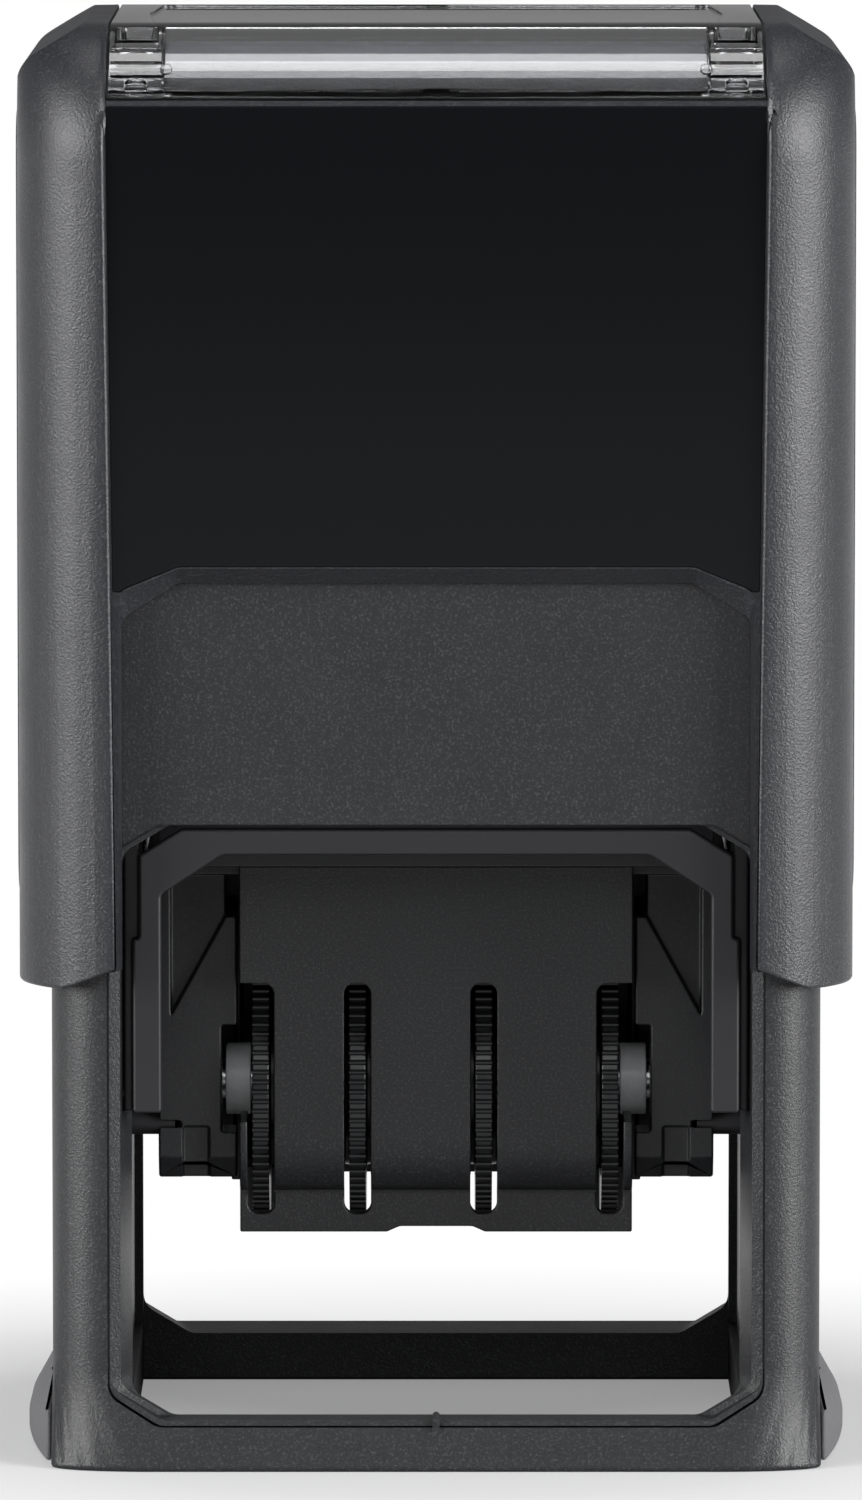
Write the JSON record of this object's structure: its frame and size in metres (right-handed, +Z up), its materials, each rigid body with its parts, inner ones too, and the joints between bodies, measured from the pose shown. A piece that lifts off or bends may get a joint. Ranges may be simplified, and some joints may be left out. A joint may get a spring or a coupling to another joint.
{
  "type": "self-inking date stamp",
  "caption": "Self-inking date stamp: a sprung cap over a two-column base turns a carriage with date bands from its ink pad down to the paper.",
  "frame": {"origin": "on the paper, under the middle of the foot", "axes": "+Z up through the cap, front with the thumb wheels towards -Y, +X to the right seen from the front"},
  "size_m": [0.0604, 0.048, 0.1013],
  "materials": {
    "matte_black_shell": "matte black moulded plastic with a fine eroded texture",
    "satin_black_shell": "satin blue-black moulded plastic",
    "gloss_black_plate": "high-gloss black plastic",
    "inner_black_plastic": "black technical plastic, smooth",
    "rough_grey_grip": "rough grey grip",
    "grey_sleeve": "blue-grey plastic",
    "clear_cover": "clear polished plastic",
    "index_paper": "grey printed card, bare",
    "steel": "bright steel wire and rod",
    "die_rubber": "red-brown die rubber",
    "ink_felt": "felt soaked with blue-black ink"
  },
  "bodies": {
    "base": {"base_frame": "matte_black_shell", "foot_grip_left": "rough_grey_grip", "foot_grip_right": "rough_grey_grip", "inner_housing": "inner_black_plastic", "flip_pin_left": "inner_black_plastic", "flip_pin_right": "inner_black_plastic", "return_spring_left": "steel", "return_spring_right": "steel"},
    "drawer": {"ink_drawer": "inner_black_plastic", "ink_pad": "ink_felt", "drawer_back_plate": "matte_black_shell"},
    "cap": {"cap_shell": "satin_black_shell", "front_plate": "gloss_black_plate", "back_plate": "gloss_black_plate", "side_grip_left": "satin_black_shell", "side_grip_right": "satin_black_shell", "yoke": "inner_black_plastic", "index_card": "index_paper"},
    "cover": {"index_cover": "clear_cover"},
    "carriage": {"carriage_frame": "satin_black_shell", "pivot_pin_left": "inner_black_plastic", "pivot_pin_right": "inner_black_plastic", "text_plate": "satin_black_shell", "text_die": "die_rubber", "nose_bar": "inner_black_plastic", "wheel_axle": "steel", "axle_sleeve_left": "grey_sleeve", "axle_sleeve_right": "grey_sleeve", "date_shield": "satin_black_shell", "wheel_guard": "satin_black_shell", "date_band_1": "die_rubber", "date_band_2": "die_rubber", "date_band_3": "die_rubber", "date_band_4": "die_rubber"},
    "wheel_1": {"date_wheel_1": "inner_black_plastic"},
    "wheel_2": {"date_wheel_2": "inner_black_plastic"},
    "wheel_3": {"date_wheel_3": "inner_black_plastic"},
    "wheel_4": {"date_wheel_4": "inner_black_plastic"}
  },
  "joints": [
    {"name": "cap_press", "type": "slide", "parent": "base", "child": "cap", "axis": [0, 0, -1], "range_m": [0, 0.026], "stiffness_N_per_m": 300, "springref_m": -0.012, "deforming": ["return_spring_left", "return_spring_right"]},
    {"name": "carriage_flip", "type": "hinge", "parent": "cap", "child": "carriage", "pos_m": [0, 0, 0.0355], "axis": [-1, 0, 0], "range_deg": [0, 180]},
    {"name": "drawer_slide", "type": "slide", "parent": "base", "child": "drawer", "axis": [0, -1, 0], "range_m": [-0.038, 0]},
    {"name": "cover_lift", "type": "slide", "parent": "cap", "child": "cover", "axis": [0, 0, 1], "range_m": [0, 0.012]},
    {"name": "wheel_1_turn", "type": "hinge", "parent": "carriage", "child": "wheel_1", "pos_m": [-0.0125, 0, 0.0247], "axis": [1, 0, 0], "continuous": true},
    {"name": "wheel_2_turn", "type": "hinge", "parent": "carriage", "child": "wheel_2", "pos_m": [-0.0056, 0, 0.0247], "axis": [1, 0, 0], "continuous": true},
    {"name": "wheel_3_turn", "type": "hinge", "parent": "carriage", "child": "wheel_3", "pos_m": [0.0034, 0, 0.0247], "axis": [1, 0, 0], "continuous": true},
    {"name": "wheel_4_turn", "type": "hinge", "parent": "carriage", "child": "wheel_4", "pos_m": [0.0124, 0, 0.0247], "axis": [1, 0, 0], "continuous": true}
  ],
  "couplings": [
    {"joint": "carriage_flip", "follows": "cap_press", "rad_per_m": 120.83}
  ]
}
